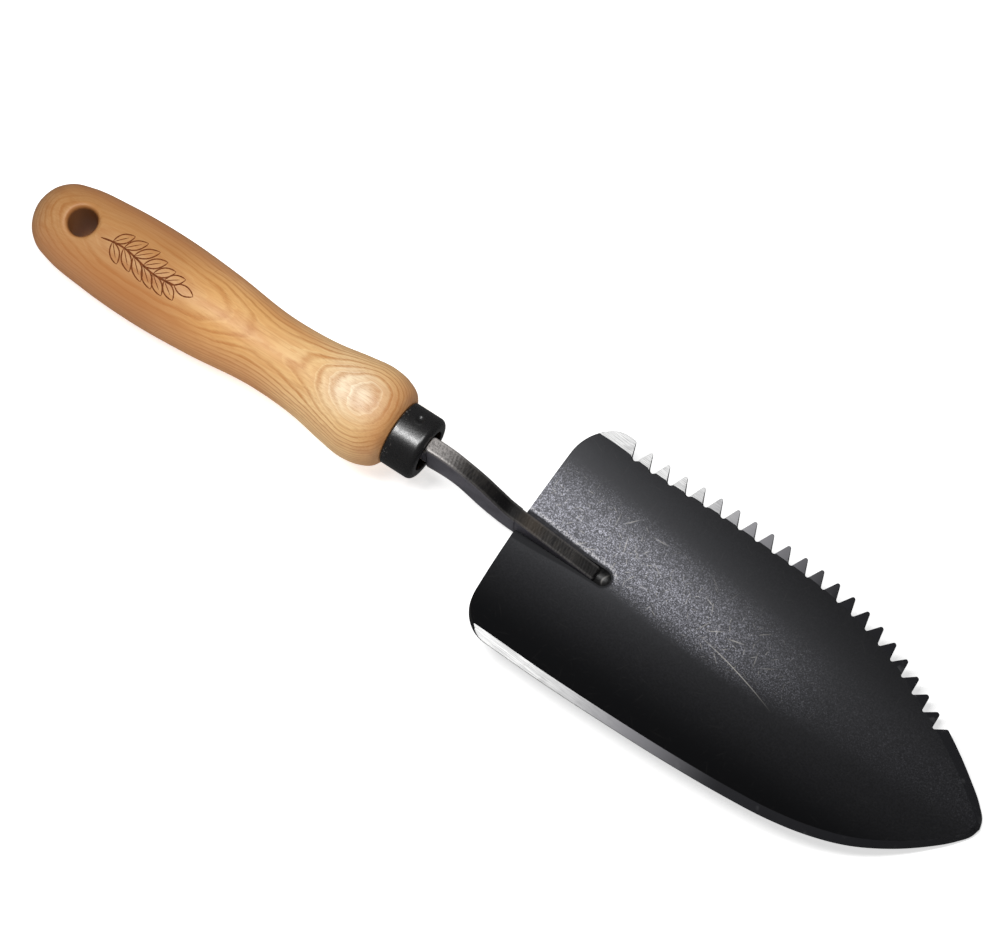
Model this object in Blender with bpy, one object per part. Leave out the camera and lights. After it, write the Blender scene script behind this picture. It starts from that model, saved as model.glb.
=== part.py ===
"""Hand transplanter: a pointed steel scoop with one saw edge, on a turned ash grip.

The tool is drawn with its handle axis along +X and the hollow side of the blade up, the saw edge
towards +Y. An empty then tips it to the attitude in which it lies on a table: on the swell at the
butt of the handle and on the point of the blade, with the origin under the middle of it.
"""

import math

import bmesh
import bpy
import numpy as np
from mathutils import Vector

MM = 0.001

# Handle, turned about the X axis. Stations run from the butt to the shoulder behind the ferrule.
HANDLE_STATIONS = (  # distance from the butt, radius
    (0.0, 0.0), (1.2, 4.6), (3.3, 8.6), (7.3, 12.1), (13.5, 14.2), (27.4, 16.0), (50.3, 16.85),
    (70.3, 15.75), (95.3, 13.35), (112.3, 14.2), (124.3, 16.25), (132.3, 17.15), (138.8, 16.1),
    (142.9, 13.9), (144.5, 11.6),
)
TURNED_STEPS = 3
HANDLE_SIDES = 56
SPIGOT_RADIUS = 9.2 * MM
SPIGOT_END = 152.7 * MM
TANG_BORE_RADIUS = 5.6 * MM
TANG_BORE_END = 91.3 * MM

# Hanging hole. The grip is glued on a few degrees round from the blade's centre plane.
HANG_HOLE_AT = 20.1 * MM
HANG_HOLE_RADIUS = 5.0 * MM
HANG_MOUTH_ROUNDING = 2.3 * MM
GRIP_TURN = math.radians(5.0)

# Ferrule: a steel ring with its front edge rolled inwards, keyed to the wood by two punch marks.
FERRULE_REAR = 144.8 * MM
FERRULE_FRONT = 156.6 * MM
FERRULE_RADIUS = 11.3 * MM
FERRULE_WALL = 1.6 * MM
FERRULE_LIP_ROUNDING = 2.2 * MM
FERRULE_MOUTH_RADIUS = 7.4 * MM
PUNCH_AT = 148.4 * MM
PUNCH_RADIUS = 1.6 * MM
PUNCH_DEPTH = 0.7 * MM
PUNCH_TURN = math.radians(24.0)

# Neck: one plate on edge, cut to an S, with a tang behind and a tongue that sits in the blade.
PLATE_THICKNESS = 5.5 * MM
TANG_THICKNESS = 4.8 * MM
TONGUE_THICKNESS = 5.0 * MM
PLATE_CHAMFER = 0.25 * MM
TANG_TIP = 97.3 * MM
TANG_POINT = (1.2 * MM, 1.8 * MM)  # half thickness and half height at its tip
TANG_TAPER = (7.0 * MM, 3.2 * MM)  # how far the point reaches, half height there
TANG_HALF_HEIGHT = 4.6 * MM
SHOULDER = 156.9 * MM
PLATE_END = 191.7 * MM
TONGUE_END = 222.5 * MM
NECK_TOP = (  # distance from the butt, height over the handle axis
    (156.9, 8.8), (162.3, 8.6), (167.3, 7.7), (171.8, 5.9), (177.5, 3.0), (183.3, -1.2),
    (188.3, -4.8), (192.7, -6.4), (198.3, -8.1), (222.5, -15.3),
)
NECK_BOTTOM = (
    (156.9, -7.1), (162.8, -6.3), (166.3, -6.4), (169.8, -7.4), (173.8, -9.9), (178.3, -13.0),
    (184.3, -15.8), (189.3, -17.2), (194.3, -17.7), (222.5, -19.2),
)

# Blade: sheet rolled to an arc, drawn in plan from the middle of its rear edge.
BLADE_REAR = (192.3 * MM, -13.3 * MM)  # distance from the butt, height of the upper face
BLADE_PITCH = math.radians(3.6)
BLADE_THICKNESS = 2.4 * MM
BLADE_ARC_RADIUS = 98.0 * MM
PLAIN_CORNER = 13.0 * MM
SAW_CORNER = 14.0 * MM
PLAIN_BOW = 1.5 * MM  # how far the rear edge falls back 30 mm to either side
SAW_BOW = 0.9 * MM
REAR_BOW_FADE = 16.0 * MM
PLAIN_SIDE = (  # distance from the rear edge, half width
    (0.0, 42.0), (12.0, 42.2), (35.0, 42.8), (60.0, 42.6), (85.0, 41.8), (105.0, 40.4),
    (120.0, 38.6), (133.0, 35.6), (146.0, 30.6), (158.0, 23.2), (168.0, 15.0), (175.0, 7.9),
    (178.4, 3.3), (179.3, 0.0),
)
SAW_SIDE = (
    (0.0, 43.3), (12.0, 43.4), (24.0, 42.7), (33.0, 42.5), (47.0, 42.8), (75.0, 42.2),
    (95.0, 41.1), (112.0, 38.3), (128.0, 33.5), (142.0, 27.1), (156.0, 20.0), (168.0, 12.2),
    (175.0, 6.7), (178.4, 2.9), (179.3, 0.0),
)
PLAIN_BEVEL = 3.2 * MM
SAW_BEVEL = 5.4 * MM
EDGE_SHARE = 0.14  # thickness left at the ground edges, as a share of the sheet
SLOT_END = 32.6 * MM
SLOT_HALF_WIDTH = 2.85 * MM
NOTCHES = 21
FIRST_NOTCH = 19.95 * MM
LAST_NOTCH = 150.75 * MM
CROWDING = 0.025  # how much closer together the hand-cut notches come towards the point
NOTCH_DEPTHS = (5.1 * MM, 4.3 * MM)  # at the rear, at the point
NOTCH_HALF_ANGLE = math.radians(27.0)
GULLET_RADIUS = 0.6 * MM

# Welds under the blade.
WELD_GAP = 0.25 * MM
WELD_LEG = 2.5 * MM
WELD_DROP = 1.5 * MM
WELD_SPAN = (3.0 * MM, 30.2 * MM)
NOSE_AT = 33.5 * MM
NOSE_FLANGE = 4.2 * MM
NOSE_PLUG = 1.9 * MM
NOSE_BOWL = ((-2.0, 0.0), (-1.75, 0.9), (-1.3, 1.6))  # height, radius in mm
NOSE_DROPS = ((0.7, 0.9), (1.3, 0.62), (1.6, 0.3), (1.65, 0.0))  # mm, share of the flange
TONGUE_FACE = 31.0 * MM
FACETS = {"bore": 32, "ferrule": 48, "weld": 24}


def clear_scene():
    for obj in list(bpy.data.objects):
        bpy.data.objects.remove(obj, do_unlink=True)


def principled(name, colour, roughness, metallic):
    material = bpy.data.materials.new(name)
    material.use_nodes = True
    shader = material.node_tree.nodes["Principled BSDF"]
    shader.inputs["Base Color"].default_value = (*colour, 1.0)
    shader.inputs["Roughness"].default_value = roughness
    shader.inputs["Metallic"].default_value = metallic
    return material


def add_object(name, bm, parent=None, material=None):
    """Turns a bmesh into a named object, with its faces facing out."""
    bmesh.ops.recalc_face_normals(bm, faces=bm.faces)
    mesh = bpy.data.meshes.new(name)
    bm.to_mesh(mesh)
    bm.free()
    obj = bpy.data.objects.new(name, mesh)
    bpy.context.collection.objects.link(obj)
    obj.parent = parent
    if material:
        mesh.materials.append(material)
        mesh.shade_smooth()
        mesh.set_sharp_from_angle(angle=math.radians(32.0))
    return obj


def cut(target, cutter, name):
    cutter.hide_render = True
    cutter.display_type = "WIRE"
    modifier = target.modifiers.new(name, "BOOLEAN")
    modifier.operation = "DIFFERENCE"
    modifier.solver = "EXACT"
    modifier.object = cutter


def spline(knots, steps):
    """Points of a smooth curve through the knots, with each chord cut into equal steps."""
    knots = np.array(knots, float)
    chords = np.linalg.norm(np.diff(knots, axis=0), axis=1)
    at = np.concatenate([[0.0], np.cumsum(chords)])
    slopes = np.gradient(knots, at, axis=0)
    curve = [knots[0]]
    for i, chord in enumerate(chords):
        for share in np.linspace(0.0, 1.0, steps + 1)[1:]:
            near, far = (1 + 2 * share) * (1 - share) ** 2, share**2 * (3 - 2 * share)
            leave, arrive = share * (1 - share) ** 2, share**2 * (share - 1)
            curve.append(
                near * knots[i] + far * knots[i + 1]
                + chord * (leave * slopes[i] + arrive * slopes[i + 1])
            )
    return np.array(curve)


def arc(centre, radius, start, end, steps):
    """Points (distance, radius) on an arc, angles in degrees."""
    angles = np.radians(np.linspace(start, end, steps + 1))
    return [(centre[0] + radius * math.cos(a), centre[1] + radius * math.sin(a)) for a in angles]


def turned(profile, sides, axis):
    """A bmesh turned from (distance along the axis, radius) pairs, closed where the radius is 0."""
    bm = bmesh.new()
    across = Vector((0, 0, 1)) if axis.x else Vector((1, 0, 0))
    points = [bm.verts.new(axis * along + across * max(radius, 0.0)) for along, radius in profile]
    ring = profile[0][1] > 0 and profile[-1][1] > 0
    pairs = zip(points, points[1:] + points[:1]) if ring else zip(points, points[1:])
    edges = [bm.edges.new(pair) for pair in pairs]
    bmesh.ops.spin(
        bm, geom=points + edges, cent=(0, 0, 0), axis=axis, angle=math.tau, steps=sides,
        use_merge=True,
    )
    bmesh.ops.remove_doubles(bm, verts=bm.verts, dist=1e-7)
    return bm


def skinned(sections):
    """A bmesh through rings of points, all with the same count, with a cap at each end."""
    bm = bmesh.new()
    rings = [[bm.verts.new(point) for point in section] for section in sections]
    for first, second in zip(rings, rings[1:]):
        for i in range(len(first)):
            j = (i + 1) % len(first)
            bm.faces.new((first[i], first[j], second[j], second[i]))
    bm.faces.new(rings[0])
    bm.faces.new(rings[-1])
    return bm


def handle_outline():
    """The turned outline in metres, with the spigot that carries the ferrule."""
    knots = [(x * MM, r * MM) for x, r in HANDLE_STATIONS]
    outline = [tuple(point) for point in spline(knots, TURNED_STEPS)]
    outline[0] = (0.0, 0.0)
    outline += [
        (outline[-1][0], SPIGOT_RADIUS),
        (SPIGOT_END, SPIGOT_RADIUS),
        (SPIGOT_END, TANG_BORE_RADIUS),
        (TANG_BORE_END, TANG_BORE_RADIUS),
        (TANG_BORE_END - 0.6 * TANG_BORE_RADIUS, 0.0),
    ]
    return outline


def hang_hole_cutter(surface):
    """A bore with trumpet mouths, whose flare ends on the wood's surface."""
    rim = HANG_HOLE_RADIUS + HANG_MOUTH_ROUNDING
    top = surface + 0.1 * MM
    flare = arc((top - HANG_MOUTH_ROUNDING, rim), HANG_MOUTH_ROUNDING, 270.0, 360.0, 6)
    up = [(top - HANG_MOUTH_ROUNDING - 1 * MM, HANG_HOLE_RADIUS)] + flare
    up.append((top + 2 * MM, rim))
    down = [(-along, radius) for along, radius in reversed(up)]
    profile = [(down[0][0], 0.0)] + down + up + [(up[-1][0], 0.0)]
    return turned(profile, FACETS["bore"], Vector((0, 0, 1)))


def make_handle(tool):
    ash = principled("ash", (0.78, 0.55, 0.31), 0.38, 0.0)
    outline = handle_outline()
    handle = add_object("handle", turned(outline, HANDLE_SIDES, Vector((1, 0, 0))), tool, ash)
    surface = np.interp(HANG_HOLE_AT, *np.array(outline[:TURNED_STEPS * len(HANDLE_STATIONS) // 2]).T)
    hole = add_object("hang_hole_cutter", hang_hole_cutter(surface), tool)
    hole.location = (HANG_HOLE_AT, 0.0, 0.0)
    hole.rotation_euler = (GRIP_TURN, 0.0, 0.0)
    cut(handle, hole, "hang_hole")


def make_ferrule(tool):
    steel = principled("black_ferrule", (0.03, 0.03, 0.032), 0.42, 0.8)
    bore = FERRULE_RADIUS - FERRULE_WALL
    lip = FERRULE_LIP_ROUNDING
    inner = lip - 0.6 * MM
    profile = [(FERRULE_REAR, bore), (FERRULE_REAR, FERRULE_RADIUS - 0.2 * MM)]
    profile.append((FERRULE_REAR + 0.2 * MM, FERRULE_RADIUS))
    profile += arc((FERRULE_FRONT - lip, FERRULE_RADIUS - lip), lip, 90.0, 0.0, 6)
    profile.append((FERRULE_FRONT, FERRULE_MOUTH_RADIUS + 0.4 * MM))
    profile.append((FERRULE_FRONT - 0.4 * MM, FERRULE_MOUTH_RADIUS))
    profile.append((FERRULE_FRONT - FERRULE_WALL, FERRULE_MOUTH_RADIUS))
    profile += arc((FERRULE_FRONT - FERRULE_WALL - inner, bore - inner), inner, 0.0, 90.0, 3)
    ferrule = add_object("ferrule", turned(profile, FACETS["ferrule"], Vector((1, 0, 0))), tool, steel)
    for name, turn in (("punch_near", PUNCH_TURN), ("punch_far", PUNCH_TURN + math.pi)):
        ball = bmesh.new()
        bmesh.ops.create_icosphere(ball, subdivisions=2, radius=PUNCH_RADIUS)
        cutter = add_object(name + "_cutter", ball, tool)
        out = FERRULE_RADIUS + PUNCH_RADIUS - PUNCH_DEPTH
        cutter.location = (PUNCH_AT, out * math.sin(turn), out * math.cos(turn))
        cut(ferrule, cutter, name)


def plate_section(x, bottom, top, half, chamfer):
    """One upright section of the plate: a rectangle with its corners taken off."""
    side = half - chamfer
    return [
        (x, -side, bottom), (x, side, bottom), (x, half, bottom + chamfer),
        (x, half, top - chamfer), (x, side, top), (x, -side, top), (x, -half, top - chamfer),
        (x, -half, bottom + chamfer),
    ]


def make_neck(tool):
    steel = principled("neck_steel", (0.055, 0.056, 0.06), 0.45, 0.8)
    top, bottom = (spline(knots, 6) * MM for knots in (NECK_TOP, NECK_BOTTOM))

    def edges(x):
        return np.interp(x, *bottom.T), np.interp(x, *top.T)

    half = TANG_THICKNESS / 2
    sections = [
        plate_section(TANG_TIP, -TANG_POINT[1], TANG_POINT[1], TANG_POINT[0], PLATE_CHAMFER),
        plate_section(
            TANG_TIP + TANG_TAPER[0], -TANG_TAPER[1], TANG_TAPER[1], half, PLATE_CHAMFER
        ),
        plate_section(SHOULDER, -TANG_HALF_HEIGHT, TANG_HALF_HEIGHT, half, PLATE_CHAMFER),
    ]
    plate = np.linspace(SHOULDER, PLATE_END, 25)
    tongue = np.linspace(PLATE_END + 0.5 * MM, TONGUE_END - 1.2 * MM, 12)
    for x in plate:
        sections.append(plate_section(x, *edges(x), PLATE_THICKNESS / 2, PLATE_CHAMFER))
    for x in tongue:
        sections.append(plate_section(x, *edges(x), TONGUE_THICKNESS / 2, PLATE_CHAMFER))
    low, high = edges(TONGUE_END)
    sections.append(
        plate_section(TONGUE_END, low + 0.6 * MM, high - 0.9 * MM, 1.5 * MM, PLATE_CHAMFER)
    )
    add_object("neck", skinned(sections), tool, steel)


def side_curve(knots):
    """Half width of the blade as a function of the distance from its rear edge."""
    curve = spline(knots, 8) * MM
    return lambda u: float(np.interp(u, curve[:, 0], curve[:, 1]))


def blade_heights(u, y, plain, saw):
    """Upper and lower face at a point in plan, with the bevels ground into the upper face."""
    radius = BLADE_ARC_RADIUS
    upper = radius - math.sqrt(radius**2 - y**2)
    lower = radius - math.sqrt((radius + BLADE_THICKNESS) ** 2 - y**2)
    room, bevel = (saw(u) - y, SAW_BEVEL) if y > 0 else (plain(u) + y, PLAIN_BEVEL)
    share = EDGE_SHARE + (1 - EDGE_SHARE) * min(1.0, max(0.0, room / bevel))
    return lower + share * (upper - lower), lower


def corner_trim(u, radius):
    """How much a rounded rear corner takes off the half width."""
    return radius - math.sqrt(radius**2 - max(0.0, radius - u) ** 2)


def rear_bow(y):
    bow = SAW_BOW if y > 0 else PLAIN_BOW
    return bow * (y / (30 * MM)) ** 2


def blade_rows(plain, saw):
    """Rows of plan points across the blade, from the rear edge to the point."""
    length = PLAIN_SIDE[-1][0] * MM
    corner = [SAW_CORNER * (1 - math.cos(math.radians(a))) for a in range(0, 91, 15)]
    body = list(np.linspace(SAW_CORNER, length - 11 * MM, 26)[1:])
    nose = [length - gap * MM for gap in (9.0, 7.0, 5.2, 3.6, 2.2, 1.2, 0.5, 0.1)]
    shares = np.linspace(-1.0, 1.0, 17)
    for u in corner + body + nose:
        low = corner_trim(u, PLAIN_CORNER) - plain(u)
        high = saw(u) - corner_trim(u, SAW_CORNER)
        low_in = min(max(low, PLAIN_BEVEL - plain(u)) + 0.04 * (high - low), -0.1 * MM)
        high_in = max(min(high, saw(u) - SAW_BEVEL) - 0.04 * (high - low), 0.1 * MM)
        if low < PLAIN_BEVEL - plain(u) < -0.1 * MM:
            low_in = PLAIN_BEVEL - plain(u)
        if high > saw(u) - SAW_BEVEL > 0.1 * MM:
            high_in = saw(u) - SAW_BEVEL
        middle = [low_in + (share + 1) / 2 * (high_in - low_in) for share in shares]
        fade = max(0.0, 1 - u / REAR_BOW_FADE)
        row = [low] + middle + [high]
        yield [(u + fade * rear_bow(y), u, y) for y in row]


def blade_blank(plain, saw):
    """The rolled and ground sheet before the slot and the teeth are cut."""
    bm = bmesh.new()
    faces = ([], [])
    for row in blade_rows(plain, saw):
        heights = [blade_heights(u, y, plain, saw) for _, u, y in row]
        for side in (0, 1):
            faces[side].append(
                [bm.verts.new((x, y, z[side])) for (x, _, y), z in zip(row, heights)]
            )
    upper, lower = faces
    for grid in (upper, lower):
        for near, far in zip(grid, grid[1:]):
            for i in range(len(near) - 1):
                bm.faces.new((near[i], near[i + 1], far[i + 1], far[i]))
    for i in (0, -1):
        for j in range(len(upper[i]) - 1):
            bm.faces.new((upper[i][j], upper[i][j + 1], lower[i][j + 1], lower[i][j]))
        for j in range(len(upper) - 1):
            bm.faces.new((upper[j][i], upper[j + 1][i], lower[j + 1][i], lower[j][i]))
    return bm


def prism(bm, outline, low, high):
    """Adds an upright prism over a plan outline."""
    floor = bm.faces.new([bm.verts.new((x, y, low)) for x, y in outline])
    raised = bmesh.ops.extrude_face_region(bm, geom=[floor])["geom"]
    verts = [item for item in raised if isinstance(item, bmesh.types.BMVert)]
    bmesh.ops.translate(bm, verts=verts, vec=(0, 0, high - low))


def slot_cutter():
    outline = [(-5 * MM, SLOT_HALF_WIDTH), (-5 * MM, -SLOT_HALF_WIDTH)]
    outline += arc((SLOT_END, 0.0), SLOT_HALF_WIDTH, -90.0, 90.0, 14)
    bm = bmesh.new()
    prism(bm, outline, -10 * MM, 10 * MM)
    return bm


def notch_cutter(saw):
    """Evenly spaced V cuts square to the saw side, each with a round gullet."""
    steps = np.linspace(FIRST_NOTCH, LAST_NOTCH, 400)
    edge = np.array([(u, saw(u)) for u in steps])
    along = np.concatenate([[0], np.cumsum(np.linalg.norm(np.diff(edge, axis=0), axis=1))])
    bm = bmesh.new()
    reach = 2.2 * MM
    slant = math.tan(NOTCH_HALF_ANGLE)
    lean = math.degrees(NOTCH_HALF_ANGLE)
    for share in np.linspace(0.0, 1.0, NOTCHES):
        depth = NOTCH_DEPTHS[0] + share * (NOTCH_DEPTHS[1] - NOTCH_DEPTHS[0])
        where = along[-1] * (share + CROWDING * share * (1 - share))
        centre = Vector([np.interp(where, along, edge[:, i]) for i in (0, 1)])
        tangent = Vector((1.0, (saw(centre.x + 1 * MM) - saw(centre.x - 1 * MM)) / (2 * MM)))
        tangent.normalize()
        outward = Vector((-tangent.y, tangent.x))
        gullet = arc((0.0, GULLET_RADIUS - depth), GULLET_RADIUS, 180 + lean, 360 - lean, 4)
        tip = depth - GULLET_RADIUS + GULLET_RADIUS / math.sin(NOTCH_HALF_ANGLE)
        mouth = (tip + reach) * slant
        shape = [(-mouth, reach)] + gullet + [(mouth, reach)]
        outline = [centre + tangent * a + outward * b for a, b in shape]
        prism(bm, outline, -10 * MM, 25 * MM)
    return bm


def make_blade(frame):
    steel = principled("black_blade", (0.035, 0.035, 0.037), 0.5, 0.8)
    plain, saw = side_curve(PLAIN_SIDE), side_curve(SAW_SIDE)
    blade = add_object("blade", blade_blank(plain, saw), frame, steel)
    cut(blade, add_object("slot_cutter", slot_cutter(), frame), "slot")
    cut(blade, add_object("notch_cutter", notch_cutter(saw), frame), "teeth")


def make_side_weld(name, side, frame, steel):
    """A fillet between the tongue and the underside of the sheet."""
    inner = TONGUE_THICKNESS / 2 + WELD_GAP
    ceiling = -BLADE_THICKNESS - WELD_GAP
    start, end = WELD_SPAN
    sections = []
    for share in np.linspace(0.0, 1.0, 9):
        size = 0.45 + 0.55 * min(1.0, 6 * min(share, 1 - share))
        u = start + share * (end - start)
        shape = [(inner, ceiling), (inner + size * WELD_LEG, ceiling)]
        shape += [
            (inner + size * WELD_LEG * math.cos(a), ceiling - size * WELD_DROP * math.sin(a))
            for a in np.radians((22.5, 45.0, 67.5, 90.0))
        ]
        sections.append([(u, side * y, z) for y, z in shape])
    add_object(name, skinned(sections), frame, steel)


def make_nose_weld(frame, steel):
    """The puddle under the slot's round end, with a bowl left in its top."""
    under = -BLADE_THICKNESS - WELD_GAP
    profile = [(height * MM, radius * MM) for height, radius in NOSE_BOWL]
    profile += [(-1.2 * MM, NOSE_PLUG), (under, NOSE_PLUG), (under, NOSE_FLANGE)]
    profile += [(under - drop * MM, share * NOSE_FLANGE) for drop, share in NOSE_DROPS]
    puddle = turned(profile, FACETS["weld"], Vector((0, 0, 1)))
    nose = add_object("weld_nose", puddle, frame, steel)
    nose.location = (NOSE_AT, 0.0, 0.0)
    box = bmesh.new()
    size = 20 * MM
    bmesh.ops.create_cube(box, size=size)
    room = add_object("tongue_room_cutter", box, frame)
    room.location = (TONGUE_FACE - size / 2, 0.0, 0.0)
    cut(nose, room, "tongue_room")


def lay_down(tool):
    """Rests the tool on its two lowest places and puts the origin under the middle of its box."""
    bpy.context.view_layer.update()
    graph = bpy.context.evaluated_depsgraph_get()
    tool.rotation_euler.y = 0.0
    points = solid_points(graph)
    rear = points[points[:, 0] < 80 * MM]
    front = points[points[:, 0] > 300 * MM]
    slope = 0.0
    for _ in range(4):
        low_rear = rear[np.argmin(rear[:, 2] - slope * rear[:, 0])]
        low_front = front[np.argmin(front[:, 2] - slope * front[:, 0])]
        slope = (low_front[2] - low_rear[2]) / (low_front[0] - low_rear[0])
    tool.rotation_euler.y = math.atan(slope)
    bpy.context.view_layer.update()
    points = solid_points(bpy.context.evaluated_depsgraph_get())
    low, high = points.min(axis=0), points.max(axis=0)
    tool.location = (-(low[0] + high[0]) / 2, -(low[1] + high[1]) / 2, -low[2])


def solid_points(graph):
    """World positions of every vertex of the finished pieces."""
    found = []
    for obj in bpy.data.objects:
        if obj.type != "MESH" or obj.hide_render:
            continue
        evaluated = obj.evaluated_get(graph)
        mesh = evaluated.to_mesh()
        found += [evaluated.matrix_world @ vert.co for vert in mesh.vertices]
        evaluated.to_mesh_clear()
    return np.array(found)


def main():
    clear_scene()
    tool = bpy.data.objects.new("tool", None)
    bpy.context.collection.objects.link(tool)
    blade_frame = bpy.data.objects.new("blade_frame", None)
    bpy.context.collection.objects.link(blade_frame)
    blade_frame.parent = tool
    blade_frame.location = (BLADE_REAR[0], 0.0, BLADE_REAR[1])
    blade_frame.rotation_euler = (0.0, BLADE_PITCH, 0.0)
    make_handle(tool)
    make_ferrule(tool)
    make_neck(tool)
    make_blade(blade_frame)
    weld = principled("weld_steel", (0.07, 0.068, 0.066), 0.55, 0.8)
    make_side_weld("weld_plain_side", -1, blade_frame, weld)
    make_side_weld("weld_saw_side", 1, blade_frame, weld)
    make_nose_weld(blade_frame, weld)
    lay_down(tool)


main()
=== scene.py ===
import math

import bmesh
import bpy
import numpy as np
from mathutils import Matrix, Vector
from mathutils.geometry import delaunay_2d_cdt


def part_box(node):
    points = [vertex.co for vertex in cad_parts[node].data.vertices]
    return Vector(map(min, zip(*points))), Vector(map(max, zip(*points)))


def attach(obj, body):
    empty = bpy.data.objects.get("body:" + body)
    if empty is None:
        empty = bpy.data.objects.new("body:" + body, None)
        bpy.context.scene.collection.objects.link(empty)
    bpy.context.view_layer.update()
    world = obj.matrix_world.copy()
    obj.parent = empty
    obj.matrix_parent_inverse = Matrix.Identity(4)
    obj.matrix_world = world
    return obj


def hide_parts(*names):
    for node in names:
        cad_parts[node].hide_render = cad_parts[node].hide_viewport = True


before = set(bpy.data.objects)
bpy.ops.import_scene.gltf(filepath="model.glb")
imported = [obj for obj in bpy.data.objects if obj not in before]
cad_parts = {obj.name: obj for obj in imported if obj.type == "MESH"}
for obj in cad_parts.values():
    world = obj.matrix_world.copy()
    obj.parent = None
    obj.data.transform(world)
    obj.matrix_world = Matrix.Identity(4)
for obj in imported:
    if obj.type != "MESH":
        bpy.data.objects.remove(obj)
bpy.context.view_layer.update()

# Every piece is drawn in millimetres along the tool's own axes, then laid where the frame has it:
# x runs along the grip from its butt, y goes towards the saw edge and z comes up out of the hollow.
# The blade has axes of its own, with u from the middle of its rear edge to the point.
MM = 0.001
REST_TILT = math.radians(1.765)
FERRULE = (144.8, 156.6)
FERRULE_RADIUS = 11.3
MOUTH_RADIUS = 7.4
FERRULE_WALL, FERRULE_LIP = 1.6, 2.2
FERRULE_ARRIS, MOUTH_ARRIS = 0.25, 0.4
PUNCH_AT, PUNCH_TURNS = 150.2, (24.0, 204.0)
PUNCH_RADIUS, PUNCH_DEPTH = 1.7, 0.75
BURR_AT, BURR_WIDTH, BURR_HEIGHT = 1.9, 0.4, 0.1

SPIGOT = (9.2, 120.0, 152.7)  # radius, hidden end, front end
TANG_BORE = (5.6, 91.3)  # radius, bottom
GRIP_END = 144.5
GRIP_OUTLINE = (  # distance from the butt, radius
    (0.0, 0.0), (1.2, 4.6), (3.3, 8.6), (7.3, 12.1), (13.5, 14.2), (27.4, 16.0), (50.3, 16.85),
    (70.3, 15.75), (95.3, 13.35), (112.3, 14.2), (124.3, 16.25), (132.3, 17.15), (138.8, 16.1),
    (142.9, 13.9), (144.5, 11.6),
)
GRIP_TRIM = 0.997  # keeps the round grip within the CAD's facets
GRIP_VOXEL = 0.5
GRIP_TURN = math.radians(5.0)
HOLE_AT, HOLE_RADIUS = 20.1, 5.0
HOLE_ROUNDING = (2.3, 0.9)  # above, below
PITH = (5.0, -54.7)  # the heart of the tree, as across and up
RING_WIDTH = 1.2

MARK_AT, MARK_LENGTH = 46.0, 34.0
MARK_TURN = math.radians(6.0)
MARK_PROUD, MARK_SUNK = 0.03, -0.12  # against the wood's surface
LEAF_PAIRS, LEAF_WIDTH = 6, 3.3
STEM_LINE, LEAF_LINE, VEIN_LINE = 0.85, 0.62, 0.4

SHOULDER, PLATE_END, TONGUE_END = 156.9, 191.7, 222.5
PLATE_HALF, TANG_HALF, TONGUE_HALF = 2.75, 2.4, 2.5
TANG = ((97.3, 0.9, 1.8, 0.4), (104.3, TANG_HALF, 3.2, 0.3), (156.88, TANG_HALF, 4.6, 0.3))
ROOT_ROUNDING, PLATE_ROUNDING, TONGUE_ROUNDING = 1.1, 0.5, 0.4
CUT_WAVES, CUT_PITCHES, CUT_SLANT, CUT_HEIGHT = 9, (0.7, 2.6), 0.25, 0.015
NECK_TOP = (
    (156.9, 8.8), (162.3, 8.6), (167.3, 7.7), (171.8, 5.9), (177.5, 3.0), (183.3, -1.2),
    (188.3, -4.8), (192.7, -6.4), (198.3, -8.1), (222.5, -15.3),
)
NECK_BOTTOM = (
    (156.9, -7.1), (162.8, -6.3), (166.3, -6.4), (169.8, -7.4), (173.8, -9.9), (178.3, -13.0),
    (184.3, -15.8), (189.3, -17.2), (194.3, -17.7), (222.5, -19.2),
)

BLADE_REAR = (192.3, -13.3)
BLADE_PITCH = math.radians(3.6)
SHEET = 2.4
ROLL_RADIUS = 98.0
PLAIN_CORNER, SAW_CORNER = 13.0, 14.0
PLAIN_BOW, SAW_BOW, BOW_FADE = 1.5, 0.9, 16.0
PLAIN_SIDE = (  # distance from the rear edge, half width
    (0.0, 42.0), (12.0, 42.2), (35.0, 42.8), (60.0, 42.6), (85.0, 41.8), (105.0, 40.4),
    (120.0, 38.6), (133.0, 35.6), (146.0, 30.6), (158.0, 23.2), (168.0, 15.0), (175.0, 7.9),
    (178.3, 3.3), (179.2, 0.0),
)
SAW_SIDE = (
    (0.0, 43.3), (12.0, 43.4), (24.0, 42.7), (33.0, 42.5), (47.0, 42.8), (75.0, 42.2),
    (95.0, 41.1), (112.0, 38.3), (128.0, 33.5), (142.0, 27.1), (156.0, 20.0), (168.0, 12.2),
    (175.0, 6.7), (178.3, 2.9), (179.2, 0.0),
)
PLAIN_BEVEL, SAW_BEVEL, EDGE_SHARE = 2.3, 4.1, 0.14
NOTCHES = 21
FIRST_NOTCH, LAST_NOTCH, CROWDING = 19.95, 150.75, 0.025
NOTCH_DEPTHS = (5.1, 4.2)  # at the first notch, at the last
NOTCH_LEANS = (23.5, 29.0)  # of a notch's sides from square to the edge, in degrees
GULLETS, TOOTH_TIP = (1.15, 0.6), 0.8
SLOT_END, SLOT_HALF, SLOT_ROUNDING = 32.6, 2.85, 0.35
POINT_LENGTH = 11.3
POINT_FROM = (168.0, 167.0)  # where each side's long run stops short of the point
EDGE_SOFTENING = 0.13

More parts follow.
